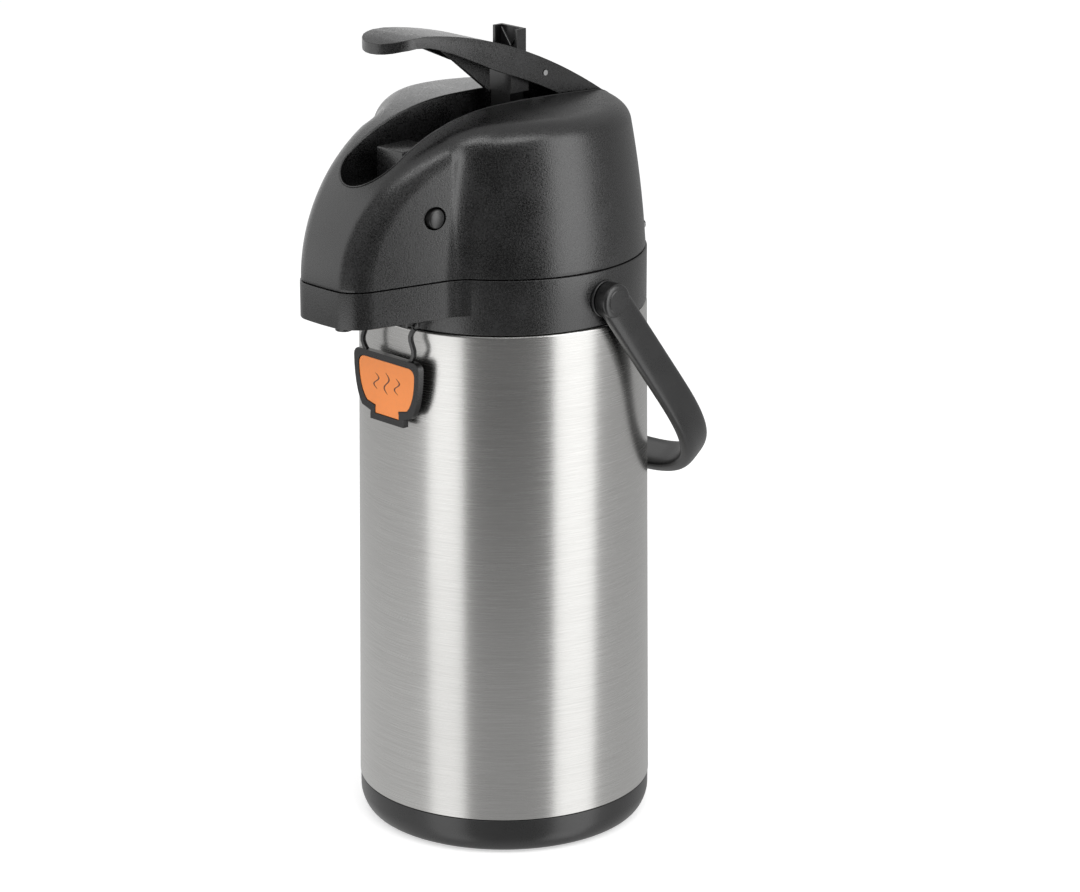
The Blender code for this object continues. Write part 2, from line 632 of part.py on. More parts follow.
def make_handle():
    section = bpy.data.curves.new("handle_section", "CURVE")
    section.dimensions = "2D"
    spline = section.splines.new("POLY")
    count, power = 16, 3.0
    spline.points.add(count - 1)
    for i, point in enumerate(spline.points):
        angle = 2 * pi * (i + 0.5) / count
        u = copysign(abs(cos(angle)) ** (2 / power), cos(angle)) * HANDLE_THICK / 2
        v = copysign(abs(sin(angle)) ** (2 / power), sin(angle)) * HANDLE_WIDTH / 2
        point.co = (u, v, 0.0, 1.0)
    spline.use_cyclic_u = True
    shape = bpy.data.objects.new("handle_section", section)
    CUTTERS.objects.link(shape)
    shape.hide_render = True

    bow = []
    rise = HANDLE_LENGTH - HANDLE_STRAIGHT
    for i in range(25):
        angle = pi * i / 24
        across = copysign(abs(cos(angle)) ** (2 / HANDLE_POWER), cos(angle)) * HANDLE_HALF
        bow.append((across, HANDLE_STRAIGHT + rise * abs(sin(angle)) ** (2 / HANDLE_POWER)))
    route = [(HANDLE_HALF, 0.0)] + bow + [(-HANDLE_HALF, 0.0)]
    curve = bpy.data.curves.new("handle", "CURVE")
    curve.dimensions = "2D"
    curve.bevel_mode = "OBJECT"
    curve.bevel_object = shape
    curve.use_fill_caps = True
    spline = curve.splines.new("POLY")
    spline.points.add(len(route) - 1)
    for point, (u, v) in zip(spline.points, route):
        point.co = (u, v, 0.0, 1.0)
    handle = baked(place("handle", curve, SATIN))
    down = Vector((0.0, sin(HANDLE_LEAN), -cos(HANDLE_LEAN)))
    across = Vector((1.0, 0.0, 0.0))
    frame = Matrix((across, down, across.cross(down))).transposed().to_4x4()
    handle.data.transform(frame)
    handle.location = (0.0, 0.0, PIVOT_Z)
    near, far = HANDLE_HALF - HANDLE_THICK / 2, HANDLE_HALF + HANDLE_THICK / 2
    for side, name in ((1, "right"), (-1, "left")):
        eye = bar(f"arm_end_{name}", (side * near, 0, PIVOT_Z), (side * far, 0, PIVOT_Z),
                  HANDLE_WIDTH / 2, steps=24)
        stub = bar(f"arm_stub_{name}", (side * 0.0718, 0, PIVOT_Z), (side * 0.0780, 0, PIVOT_Z), 0.0040)
        weld(handle, eye, stub)
        turned_sideways(f"handle_rivet_{name}", [
            (0.0, 0.0714), (0.0070, 0.0714), (0.0070, 0.0700), (0.0, 0.0694),
        ], PIN_STEEL, side, 0.0, PIVOT_Z)


def cup_outline(inset):
    """A cup seen from the front: a level rim, round sides and a small foot."""
    half, top, bottom = 0.0245 - inset, TAG_TOP - inset, TAG_BOTTOM + inset
    foot, neck, foot_top = 0.0125 - inset, 0.0110 - inset, 0.2352 + inset
    corner = 0.0040
    right = arc((half - corner, top - corner), corner, 90, 0, 4)
    bowl = []
    for angle in steps_between(0, 72, 7)[1:]:
        a = radians(angle)
        drop = (top - corner - foot_top) * sin(a) / sin(radians(72))
        bowl.append((neck + (half - neck) * cos(a) ** 0.75, top - corner - drop))
    bowl[-1] = (neck + 0.0012, foot_top)
    right += bowl + [(foot, foot_top - 0.0016), (foot, bottom)]
    return [(-x, z) for x, z in reversed(right)] + right


def make_tag():
    outer = cup_outline(0.0)
    frame = plate("tag_frame", outer, *TAG_Y, SATIN, "XZ")
    front = TAG_Y[0]
    pocket = plate("tag_pocket", cup_outline(0.0034), front - 0.001, front + 0.0012, None, "XZ")
    cut(frame, pocket)
    plate("tag_insert", cup_outline(0.0037), front + 0.0003, front + 0.0009, ORANGE, "XZ")
    y = (TAG_Y[0] + TAG_Y[1]) / 2
    ring, wire = 0.0025, 0.0010
    for side, name in ((1, "right"), (-1, "left")):
        foot_x, top_z = side * 0.0160, TAG_TOP - 0.001
        neck_z = TAG_AXIS[1] - ring - 0.0004
        sway = [(foot_x + (side * EYE_X - foot_x) * t + side * 0.0022 * sin(2 * pi * t), y,
                 top_z + (neck_z - top_z) * t) for t in steps_between(0.0, 1.0, 8)]
        hook = tube(f"steam_hook_{name}", sway, 0.0014)
        loop = [(side * EYE_X + ring * cos(a), TAG_AXIS[0], TAG_AXIS[1] + ring * sin(a))
                for a in steps_between(-pi / 2, 3 * pi / 2, 12)][:-1]
        curl = tube(f"hook_loop_{name}", loop, wire)
        curl.data.splines[0].use_cyclic_u = True
        weld(frame, baked(hook), baked(curl))


make_base()
make_jug()
make_collar()
make_stem()
make_lid()
make_pump()
make_lever()
make_rod()
make_buttons()
make_handle()
make_tag()
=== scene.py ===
"""Looks of a lever airpot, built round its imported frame. Metres, +Z up, spout towards -Y."""

import json
from math import atan2, copysign, cos, degrees, hypot, pi, radians, sin

import bmesh
import bpy
from mathutils import Matrix, Vector

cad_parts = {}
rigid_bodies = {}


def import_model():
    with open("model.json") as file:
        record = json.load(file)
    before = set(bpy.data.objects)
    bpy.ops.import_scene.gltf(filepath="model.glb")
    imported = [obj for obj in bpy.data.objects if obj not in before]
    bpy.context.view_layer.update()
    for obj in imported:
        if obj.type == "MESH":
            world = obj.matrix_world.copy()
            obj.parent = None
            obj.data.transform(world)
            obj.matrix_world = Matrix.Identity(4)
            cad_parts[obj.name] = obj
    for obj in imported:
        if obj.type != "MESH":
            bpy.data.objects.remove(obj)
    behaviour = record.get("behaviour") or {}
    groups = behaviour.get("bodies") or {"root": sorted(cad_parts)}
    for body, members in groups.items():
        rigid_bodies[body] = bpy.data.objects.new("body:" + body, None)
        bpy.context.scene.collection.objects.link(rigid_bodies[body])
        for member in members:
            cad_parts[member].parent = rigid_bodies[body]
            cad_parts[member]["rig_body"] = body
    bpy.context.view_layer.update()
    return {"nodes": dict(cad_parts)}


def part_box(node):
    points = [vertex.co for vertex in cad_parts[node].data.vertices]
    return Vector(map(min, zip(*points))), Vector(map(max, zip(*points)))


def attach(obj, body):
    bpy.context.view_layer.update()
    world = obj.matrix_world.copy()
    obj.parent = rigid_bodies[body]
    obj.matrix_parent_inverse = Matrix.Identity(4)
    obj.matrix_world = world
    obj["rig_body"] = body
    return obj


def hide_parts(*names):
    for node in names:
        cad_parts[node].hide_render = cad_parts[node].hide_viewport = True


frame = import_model()

MERGE = 0.000002


# ---------------------------------------------------------------- base
# A moulded cap closes the jug underneath. It is smooth black plastic with a rounded foot edge,
# and a rubber disc is pressed into its underside.

class Wire:
    """A socket of a finish, so that its shader maths reads as plain expressions."""

    def __init__(self, finish, socket):
        self.finish = finish
        self.socket = socket

    def math(self, operation, *values):
        return self.finish.node("ShaderNodeMath", {"operation": operation}, dict(enumerate(values)))

    def __add__(self, other):
        return self.math("ADD", self, other)

    def __mul__(self, other):
        return self.math("MULTIPLY", self, other)

    __radd__ = __add__
    __rmul__ = __mul__


class Finish:
    """One surface finish of the airpot."""

    def __init__(self, name, **constants):
        self.material = bpy.data.materials.new(name)
        self.material.use_nodes = True
        self.tree = self.material.node_tree
        self.shader = self.tree.nodes["Principled BSDF"]
        self.feed(self.shader, {key.replace("_", " "): value for key, value in constants.items()})

    def feed(self, made, values):
        for name, value in values.items():
            if isinstance(value, Wire):
                self.tree.links.new(value.socket, made.inputs[name])
            else:
                made.inputs[name].default_value = value

    def node(self, kind, settings, values, output=0):
        made = self.tree.nodes.new(kind)
        for name, value in settings.items():
            setattr(made, name, value)
        self.feed(made, values)
        return Wire(self, made.outputs[output])

    def noise(self, stretch, detail=2.0, roughness=0.5):
        """Noise whose grain is one over the stretch, in metres along each axis."""
        place = self.node("ShaderNodeTexCoord", {}, {}, "Object")
        place = self.node("ShaderNodeVectorMath", {"operation": "MULTIPLY"}, {0: place, 1: stretch})
        return self.node("ShaderNodeTexNoise", {}, {
            "Vector": place, "Scale": 1.0, "Detail": detail, "Roughness": roughness})

    def between(self, low, high, share):
        """A colour between two, by a share from 0 to 1."""
        return self.node("ShaderNodeMix", {"data_type": "RGBA"}, {
            0: share, 6: (*low, 1.0), 7: (*high, 1.0)}, 2)

    def ramp(self, value, low, high):
        """The value stretched so that low gives 0 and high gives 1, and clamped."""
        return self.node("ShaderNodeMapRange", {"clamp": True}, {
            "Value": value, "From Min": low, "From Max": high})

    def wear(self, colour, roughness, height, depth):
        """Give the shader its colour, roughness and relief."""
        relief = self.node("ShaderNodeBump", {}, {"Height": height, "Distance": depth, "Strength": 1.0})
        self.feed(self.shader, {"Base Color": colour, "Roughness": roughness, "Normal": relief})


def moulded(name, low, high, rough, grain, depth, mottle=0.08):
    """Moulded plastic or rubber: cloudy colour, a mottled gloss and a fine skin."""
    finish = Finish(name, Specular_IOR_Level=0.9)
    cloud = finish.ramp(finish.noise((55.0,) * 3, 3.0), 0.3, 0.7)
    skin = finish.noise((grain,) * 3, 3.0)
    speck = finish.ramp(skin, 0.35, 0.65)
    colour = finish.between(low, high, 0.5 * cloud + 0.5 * speck)
    finish.wear(colour, rough + 0.06 * cloud + mottle * speck, skin, depth)
    return finish.material


def piece(name, shape, material, body, nodes=(), sharp=35):
    """Finish a bmesh as a named piece that rides on a body and stands for CAD nodes."""
    mesh = bpy.data.meshes.new(name)
    shape.to_mesh(mesh)
    shape.free()
    mesh.shade_smooth()
    mesh.set_sharp_from_angle(angle=radians(sharp))
    mesh.materials.append(material)
    made = bpy.data.objects.new(name, mesh)
    bpy.context.scene.collection.objects.link(made)
    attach(made, body)
    if nodes:
        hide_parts(*nodes)
    return made


def bevel(shape, edges, width, segments=3):
    """Round some edges of a bmesh."""
    bmesh.ops.bevel(shape, geom=edges, offset=width, offset_type="OFFSET", segments=segments,
                    profile=0.5, affect="EDGES", material=-1, clamp_overlap=True)


def spun(profile, steps=160, roundings=None):
    """Spin a profile of (radius, height) points about Z; roundings gives radii by point index."""
    shape = bmesh.new()
    points = [shape.verts.new((r, 0.0, z)) for r, z in profile]
    for start, end in zip(points, points[1:]):
        shape.edges.new((start, end))
    if profile[0][0] > 0:
        shape.edges.new((points[-1], points[0]))
    for index, radius in (roundings or {}).items():
        bmesh.ops.bevel(shape, geom=[points[index]], offset=radius, offset_type="OFFSET", segments=5,
                        profile=0.5, affect="VERTICES", material=-1)
    bmesh.ops.spin(shape, geom=shape.verts[:] + shape.edges[:], cent=(0, 0, 0), axis=(0, 0, 1),
                   angle=2 * pi, steps=steps, use_merge=True)
    bmesh.ops.remove_doubles(shape, verts=shape.verts, dist=MERGE)
    bmesh.ops.recalc_face_normals(shape, faces=shape.faces)
    return shape


satin = moulded("satin_black_plastic", (0.002, 0.002, 0.0021), (0.005, 0.005, 0.0052),
                0.24, 2600.0, 0.000012)
rubber = moulded("black_rubber", (0.010, 0.010, 0.010), (0.017, 0.017, 0.017), 0.62, 1500.0, 0.00004)

base_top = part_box("base_cap")[1].z
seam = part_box("steel_shell")[0].z
piece("foot_cap", spun([
    (0.0, 0.0042), (0.0738, 0.0042), (0.0738, base_top), (0.0762, base_top), (0.0762, seam - 0.0004),
    (0.0772, seam - 0.0006), (0.0772, 0.0074), (0.0722, 0.0006), (0.0605, 0.0006), (0.0605, 0.0022),
    (0.0, 0.0022),
], roundings={5: 0.0004, 6: 0.0045, 7: 0.0030}), satin, "jug", ["base_cap"])
piece("foot_pad", spun([
    (0.0, 0.0019), (0.0600, 0.0019), (0.0600, 0.0), (0.0540, 0.0), (0.0530, 0.0006), (0.0505, 0.0006),
    (0.0495, 0.0), (0.0, 0.0),
], roundings={2: 0.0004}), rubber, "jug", ["rubber_foot"])


# ---------------------------------------------------------------- steel jug
# The shell is stainless sheet, brushed round the jug, and turned in over its shoulder. The liner
# inside is drawn steel and ends in the neck that carries the collar.

def brushed(name, low, high, around, along, rough, depth):
    """Steel brushed round the Z axis: long faint scratches of uneven gloss."""
    finish = Finish(name, Metallic=1.0)
    fine = finish.noise((around, around, along), 4.0, 0.65)
    broad = finish.noise((around * 0.4, around * 0.4, along * 0.22), 2.0)
    finish.wear(finish.between(low, high, finish.ramp(fine, 0.35, 0.65)),
                rough + 0.12 * fine + 0.05 * broad, fine + 0.5 * broad, depth)
    return finish.material


shell_steel = brushed("brushed_steel", (0.56, 0.555, 0.54), (0.68, 0.675, 0.66),
                      45.0, 7000.0, 0.17, 0.000004)
liner_steel = brushed("liner_steel", (0.62, 0.62, 0.61), (0.70, 0.70, 0.69),
                      30.0, 1500.0, 0.12, 0.000008)
wire_steel = brushed("pin_steel", (0.66, 0.66, 0.66), (0.74, 0.74, 0.74),
                     300.0, 900.0, 0.12, 0.000004)

shell_low, shell_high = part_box("steel_shell")
piece("jug_shell", spun([
    (0.0444, shell_high.z), (0.0748, shell_high.z), (0.0775, shell_low.z), (0.0767, shell_low.z),
    (0.0740, shell_high.z - 0.0008), (0.0444, shell_high.z - 0.0008),
], steps=192, roundings={1: 0.0012, 2: 0.0003}), shell_steel, "jug", ["steel_shell"])


def rounded(made, width, segments, angle):
    """Break the edges of a piece that are sharper than an angle in degrees."""
    rounding = made.modifiers.new("rounded_edges", "BEVEL")
    rounding.width = width
    rounding.segments = segments
    rounding.limit_method = "ANGLE"
    rounding.angle_limit = radians(angle)
    rounding.harden_normals = True


def eased(node, material, width=0.0, sharp=35):
    """A smooth-shaded copy of a CAD node with its sharp edges broken."""
    source = frame["nodes"][node]
    shape = bmesh.new()
    shape.from_mesh(source.data)
    bmesh.ops.remove_doubles(shape, verts=shape.verts, dist=MERGE)
    bmesh.ops.dissolve_limit(shape, angle_limit=radians(1.0), verts=shape.verts, edges=shape.edges)
    made = piece(f"{node}_finished", shape, material, source["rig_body"], [node], sharp)
    if width:
        rounded(made, width, 2, 40)


for node in ("inner_liner", "bottom_plate"):
    eased(node, liner_steel)


# ---------------------------------------------------------------- lid cover
# One thick black moulding with a fine spark-eroded grain. It is a drum that tapers upwards and
# runs forward into the snout, with a long recess on top that the lever closes into.

COLLAR_TOP = 0.3107
LID_BOTTOM = 0.3111
CROWN_RISE = 0.0793
CROWN_FALL = 0.6
CROWN_CAMBER = 0.8
NOSE_CENTRE = -0.020
NOSE_REACH = 0.105
NOSE_POWER = 2.09
CHEEK_FILLET = 0.007
SHOULDER_FILLET = 0.010
LID_WALL = 0.0026
WELL_WALL = 0.0022
SLOT_HALF = 0.0175
SLOT_FRONT_CENTRE = -0.0875
SLOT_REAR = 0.0605
SLOT_FLOOR = 0.3555
SLOT_CORNER = 0.0020
WALL_ROWS = 4
SKIN_ROWS = 64
INNER_ROWS = 20
LID_COLUMNS = 420
STOP_TOP = 0.3735
BUTTON_Y = -0.078
BUTTON_Z = 0.344

grained = moulded("grained_black_plastic", (0.002, 0.002, 0.0021), (0.009, 0.009, 0.0093),
                  0.20, 1350.0, 0.00010, mottle=0.17)


def rounded_max(a, b, radius):
    """The larger of two distances, with a fillet where the two surfaces meet."""
    if min(a, b) <= -radius:
        return max(a, b)
    return hypot(a + radius, b + radius) - radius


def lid_form(x, y, z):
    """Roughly the distance from the lid's outer surface, negative inside."""
    rise = z - COLLAR_TOP
    fall = CROWN_FALL * max(y - NOSE_CENTRE, 0.0) ** 2 + CROWN_CAMBER * x * x
    height = max(rise + fall, 0.0) / CROWN_RISE
    forward = max(NOSE_CENTRE - y + 3.0 * x * x, 0.0) / NOSE_REACH
    top = ((forward ** NOSE_POWER + height ** NOSE_POWER) ** (1 / NOSE_POWER) - 1) * 0.095
    side = hypot(x, y) - (0.0739 - 0.06 * rise - 0.9 * rise * abs(rise))
    cheek = abs(x) - (0.036 - 0.25 * max(-0.068 - y, 0.0))
    wall = -rounded_max(-side, -max(cheek, y + 0.010), CHEEK_FILLET)
    return rounded_max(wall, top, SHOULDER_FILLET)


def reach(start, direction, inset):
    """Distance from a point inside the lid to its surface, less the inset."""
    near, far = 0.0, 0.2
    for _ in range(22):
        middle = (near + far) / 2
        if lid_form(*(start + direction * middle)) + inset < 0:
            near = middle
        else:
            far = middle
    return near


def recess_rim(u):
    """The recess's rim in plan and the way outwards from it, once round from the rear."""
    side = 1.0 if u <= 0.5 else -1.0
    t = 2.0 * (u if u <= 0.5 else 1.0 - u)
    inner = SLOT_HALF - SLOT_CORNER
    if t < 0.08:
        x, y, angle = inner * t / 0.08, SLOT_REAR, 90 - 15 * t / 0.08
    elif t < 0.14:
        s = (t - 0.08) / 0.06
        turn = radians(90 - 90 * s)
        x = inner + SLOT_CORNER * cos(turn)
        y = SLOT_REAR - SLOT_CORNER + SLOT_CORNER * sin(turn)
        angle = 75 - 20 * s
    elif t < 0.76:
        s = (t - 0.14) / 0.62
        x = SLOT_HALF
        y = SLOT_REAR - SLOT_CORNER + (SLOT_FRONT_CENTRE - SLOT_REAR + SLOT_CORNER) * s
        angle = 55 * max((y + 0.02) / (SLOT_REAR - SLOT_CORNER + 0.02), 0.0) ** 1.5
    else:
        angle = -90 * (t - 0.76) / 0.24
        x = SLOT_HALF * cos(radians(angle))
        y = SLOT_FRONT_CENTRE + SLOT_HALF * sin(radians(angle))
    way = radians(angle)
    return Vector((side * x, y, 0.0)), Vector((side * cos(way), sin(way), 0.0))


def seam_point(u, inset, height):
    """A point on the lid's outline at the seam, moved in by the inset."""
    rim, way = recess_rim(u)
    start = Vector((rim.x, rim.y, COLLAR_TOP))
    point = start + way * reach(start, way, inset)
    return Vector((point.x, point.y, height))


def skin_point(u, share, inset, spare):
    """A point on the lid's skin, from the rim at share 0 to the seam at share 1."""
    rim, way = recess_rim(u)
    start = Vector((rim.x, rim.y, LID_BOTTOM))
    across = reach(start, way, inset)
    run = spare + (across + CROWN_RISE - spare) * share
    aim = way * min(run, across) + Vector((0.0, 0.0, CROWN_RISE - max(run - across, 0.0)))
    return start + aim.normalized() * reach(start, aim.normalized(), inset)


def lid_rows(u):
    """One column of the lid: recess floor and wall, skin, lip, inner skin and the well's underside."""
    rim, way = recess_rim(u)
    middle_y = min(max(rim.y, SLOT_FRONT_CENTRE), SLOT_REAR - SLOT_HALF)
    top = skin_point(u, 0.0, 0.0, 0.0)
    column = [Vector((0.0, middle_y, SLOT_FLOOR)), Vector((rim.x, rim.y, SLOT_FLOOR))]
    column += [Vector((rim.x, rim.y, SLOT_FLOOR + (top.z - SLOT_FLOOR) * s)) for s in (0.33, 0.66)]
    column += [skin_point(u, i / SKIN_ROWS, 0.0, 0.0) for i in range(SKIN_ROWS + 1)]
    column += [skin_point(u, 1.0 - i / INNER_ROWS, LID_WALL, WELL_WALL) for i in range(INNER_ROWS + 1)]
    foot = rim + way * WELL_WALL
    column.append(Vector((foot.x, foot.y, SLOT_FLOOR - WELL_WALL)))
    column.append(Vector((0.0, middle_y, SLOT_FLOOR - WELL_WALL)))
    return column


def wrapped(columns, column_at):
    """A grid whose columns are laid on given lines, joined up where they meet."""
    lines = [column_at(i / columns) for i in range(columns + 1)]
    rows = len(lines[0])
    shape = bmesh.new()
    bmesh.ops.create_grid(shape, x_segments=columns, y_segments=rows - 1, size=0.5)
    line = shape.verts.layers.int.new("row")
    for vert in shape.verts:
        column, row = round((vert.co.x + 0.5) * columns), round((vert.co.y + 0.5) * (rows - 1))
        vert.co = lines[column][row]
        vert[line] = row
    bmesh.ops.remove_doubles(shape, verts=shape.verts, dist=MERGE)
    bmesh.ops.recalc_face_normals(shape, faces=shape.faces)
    return shape


def row_edges(shape, row):
    """The edges of a wrapped grid that run along one of its rows."""
    line = shape.verts.layers.int["row"]
    return [edge for edge in shape.edges if all(vert[line] == row for vert in edge.verts)]


def bored(made, cutter):
    """Cut a bmesh's solid out of a piece for good."""
    mesh = bpy.data.meshes.new("cutter")
    cutter.to_mesh(mesh)
    cutter.free()
    tool = bpy.data.objects.new("cutter", mesh)
    bpy.context.scene.collection.objects.link(tool)
    boolean = made.modifiers.new("bore", "BOOLEAN")
    boolean.object = tool
    boolean.solver = "EXACT"
    bpy.context.view_layer.update()
    cut = bpy.data.meshes.new_from_object(made.evaluated_get(bpy.context.evaluated_depsgraph_get()))
    made.modifiers.clear()
    made.data = cut
    bpy.data.objects.remove(tool)


def box_shape(low, high):
    """A box between two corners."""
    shape = bmesh.new()
    bmesh.ops.create_cube(shape, size=1.0)
    low, high = Vector(low), Vector(high)
    bmesh.ops.scale(shape, vec=high - low, verts=shape.verts)
    bmesh.ops.translate(shape, vec=(low + high) / 2, verts=shape.verts)
    return shape


def rod_shape(start, end, radius, steps=48):
    """A round rod between two points."""
    shape = bmesh.new()
    start, end = Vector(start), Vector(end)
    bmesh.ops.create_cone(shape, cap_ends=True, segments=steps, radius1=radius, radius2=radius,
                          depth=(end - start).length)
    turn = Vector((0, 0, 1)).rotation_difference(end - start).to_matrix().to_4x4()
    bmesh.ops.transform(shape, matrix=Matrix.Translation((start + end) / 2) @ turn, verts=shape.verts)
    return shape


lid = wrapped(LID_COLUMNS, lid_rows)
bevel(lid, row_edges(lid, WALL_ROWS), 0.0008)
bevel(lid, row_edges(lid, WALL_ROWS + SKIN_ROWS), 0.0005, 2)
cover = piece("lid_moulding", lid, grained, "lid", ["lid_cover"], sharp=40)
button_way = rod_shape((-0.045, BUTTON_Y, BUTTON_Z), (0.045, BUTTON_Y, BUTTON_Z), 0.0060)
rod_way = box_shape((-0.0075, -0.0045, 0.350), (0.0075, 0.0085, 0.360))
tail_notch = box_shape((-SLOT_HALF, SLOT_REAR - 0.001, 0.3775), (SLOT_HALF, 0.072, 0.399))
for opening in (button_way, rod_way, tail_notch):
    bored(cover, opening)
stop = box_shape((-0.010, -0.078, SLOT_FLOOR - 0.0005), (0.010, -0.056, STOP_TOP))
bevel(stop, stop.edges[:], 0.0009)
piece("recess_stop", stop, grained, "lid")


BEAD_R = 0.00035


def rim_column(u):
    """One section of the fine bead that runs round the recess's edge."""
    rim, way = recess_rim(u)
    middle = skin_point(u, 0.0, 0.0, 0.0)
    return [middle + way * BEAD_R * cos(turn) + Vector((0.0, 0.0, BEAD_R * sin(turn)))
            for turn in (2 * pi * i / 8 for i in range(9))]


piece("recess_bead", wrapped(300, rim_column), satin, "lid")


# ---------------------------------------------------------------- lid hinge
# A lug on the lid's back sits between two lugs of the collar, and a steel pin runs through all
# three. Each lug is a plate whose end is rounded about the pin.

HINGE_Y, HINGE_Z = 0.0782, 0.3109
KNUCKLE = 0.0030


def extruded(outline, way):
    """A flat outline of points, extruded by a vector."""
    shape = bmesh.new()
    face = shape.faces.new([shape.verts.new(point) for point in outline])
    pulled = bmesh.ops.extrude_face_region(shape, geom=[face])
    moved = [part for part in pulled["geom"] if isinstance(part, bmesh.types.BMVert)]
    bmesh.ops.translate(shape, vec=way, verts=moved)
    bmesh.ops.recalc_face_normals(shape, faces=shape.faces)
    return shape


def arc(centre, radius, start, end, count):
    """Points on an arc, its angles in degrees."""
    turns = [radians(start + (end - start) * i / count) for i in range(count + 1)]
    return [(centre[0] + radius * cos(a), centre[1] + radius * sin(a)) for a in turns]


def lug(name, outline, low, high, body):
    """A plate with an outline of (y, z) points between two places along X."""
    shape = extruded([(low, y, z) for y, z in outline], (high - low, 0, 0))
    ends = [face for face in shape.faces if abs(face.normal.x) > 0.9]
    bevel(shape, list({edge for face in ends for edge in face.edges}), 0.0004, 2)
    piece(name, shape, grained, body)


lug("lid_lug", arc((HINGE_Y, HINGE_Z), KNUCKLE, -191.5, 90, 24)
    + [(0.0716, HINGE_Z + KNUCKLE), (0.0716, 0.3116)], -0.0098, 0.0098, "lid")
collar_lug = [(0.0728, 0.3098)] + arc((HINGE_Y, HINGE_Z), KNUCKLE, 201.5, -60, 24) + [(0.0728, 0.3010)]
lug("collar_lug_left", collar_lug, -0.0240, -0.0105, "jug")
lug("collar_lug_right", collar_lug, 0.0105, 0.0240, "jug")
eased("lid_hinge_pin", wire_steel, 0.0003)


# ---------------------------------------------------------------- collar
# The collar snaps over the jug's shoulder. It is one moulding in the lid's grain: a ring with a
# deck round the neck, and a tray in front that closes the snout from below.

TRAY_BOTTOM = 0.2920
TRAY_FLOOR = 0.2944
RING_R = 0.0746
SHOULDER_R = 0.0722
NECK_R = 0.0470
ring_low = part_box("collar")[0].z

ring = spun([
    (RING_R, COLLAR_TOP), (RING_R, ring_low), (SHOULDER_R, ring_low), (SHOULDER_R, 0.2866),
    (NECK_R, 0.2866), (NECK_R, 0.2886), (SHOULDER_R, 0.2886), (SHOULDER_R, COLLAR_TOP),
], steps=192, roundings={7: 0.0006, 1: 0.0008, 0: 0.0007})
piece("collar_ring", ring, grained, "jug", ["collar"])


def snout_shape(start, inset, back, count, low, high):
    """The lid's outline round the snout, closed behind along a round back, between two heights."""
    rim = [seam_point(start + (1.0 - 2 * start) * i / count, inset, 0.0) for i in range(count + 1)]
    rim = [point for point in rim if hypot(point.x, point.y) > back + 0.0004]
    first, last = (degrees(atan2(end.y, end.x)) for end in (rim[0], rim[-1]))
    outline = [(point.x, point.y) for point in rim] + arc((0.0, 0.0), back, last, first, 40)
    return extruded([(x, y, low) for x, y in outline], (0, 0, high - low))


tray = piece("snout_tray", snout_shape(0.275, -0.0006, 0.0735, 220, TRAY_BOTTOM, COLLAR_TOP),
             grained, "jug")
bored(tray, snout_shape(0.335, 0.0022, 0.0748, 140, TRAY_FLOOR, COLLAR_TOP + 0.004))
spout_low, spout_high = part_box("nozzle")
spout_y = (spout_low.y + spout_high.y) / 2
nozzle_way = rod_shape((0, spout_y, 0.288), (0, spout_y, 0.298), 0.0053)
bmesh.ops.scale(nozzle_way, vec=(1.0, 1.28, 1.0), space=Matrix.Translation((0, -spout_y, 0)),
                verts=nozzle_way.verts)
bmesh.ops.translate(nozzle_way, vec=(0, -0.0015, 0), verts=nozzle_way.verts)
bored(tray, nozzle_way)
rounded(tray, 0.0008, 3, 50)


# ---------------------------------------------------------------- handle
# The handle is one springy bow of smooth black plastic. Its round ends sit on bushes in the
# collar and turn on stubs that are riveted from inside.

PIVOT_Z = 0.2962
BOW_HALF = 0.0804
BOW_STRAIGHT = 0.066
BOW_LENGTH = 0.143
BOW_THICK = 0.0083
BOW_WIDTH = 0.0182
BOW_POWER = 2 / 2.85
EDGE_POWER = 0.62
BOW_LEAN = radians(37.2)
bow_down = Vector((0.0, sin(BOW_LEAN), -cos(BOW_LEAN)))
bow_face = Vector((0.0, cos(BOW_LEAN), sin(BOW_LEAN)))


def signed_power(value, power):
    """A power of a number's size that keeps its sign."""
    return copysign(abs(value) ** power, value)


def bow_centre(u):
    """A point on the bow's middle line, with u running from one pivot to the other."""
    across = 1.0 if u < 0.5 else -1.0
    t = 2.0 * min(u, 1.0 - u)
    if t < 0.35:
        return across * BOW_HALF, BOW_STRAIGHT * t / 0.35
    angle = (pi / 2) * (t - 0.35) / 0.65
    return (across * BOW_HALF * cos(angle) ** BOW_POWER,
            BOW_STRAIGHT + (BOW_LENGTH - BOW_STRAIGHT) * sin(angle) ** BOW_POWER)


def bow_column(u):
    """One section of the bow, a rounded bar, closed at both ends."""
    x, drop = bow_centre(u)
    step = 0.002
    x0, drop0 = bow_centre(max(u - step, 0.0))
    x1, drop1 = bow_centre(min(u + step, 1.0))
    along = Vector((x1 - x0, drop1 - drop0)).normalized()
    centre = Vector((x, 0.0, PIVOT_Z)) + bow_down * drop
    outward = Vector((along.y, 0.0, 0.0)) - bow_down * along.x
    column = []
    for i in range(49):
        a = 2 * pi * i / 48
        column.append(centre + outward * (BOW_THICK / 2) * signed_power(cos(a), EDGE_POWER)
                      + bow_face * (BOW_WIDTH / 2) * signed_power(sin(a), EDGE_POWER))
    return column


bow = wrapped(140, bow_column)
bmesh.ops.holes_fill(bow, edges=[edge for edge in bow.edges if edge.is_boundary], sides=0)
bmesh.ops.recalc_face_normals(bow, faces=bow.faces)
piece("handle_bow", bow, satin, "bail", ["handle"], sharp=50)


def sideways(shape, side, y, z):
    """Turn a shape spun about Z to lie along X, outwards on one side."""
    turn = Matrix.Rotation(side * pi / 2, 3, "Y")
    bmesh.ops.rotate(shape, cent=(0, 0, 0), matrix=turn, verts=shape.verts)
    bmesh.ops.translate(shape, vec=(0, y, z), verts=shape.verts)
    return shape


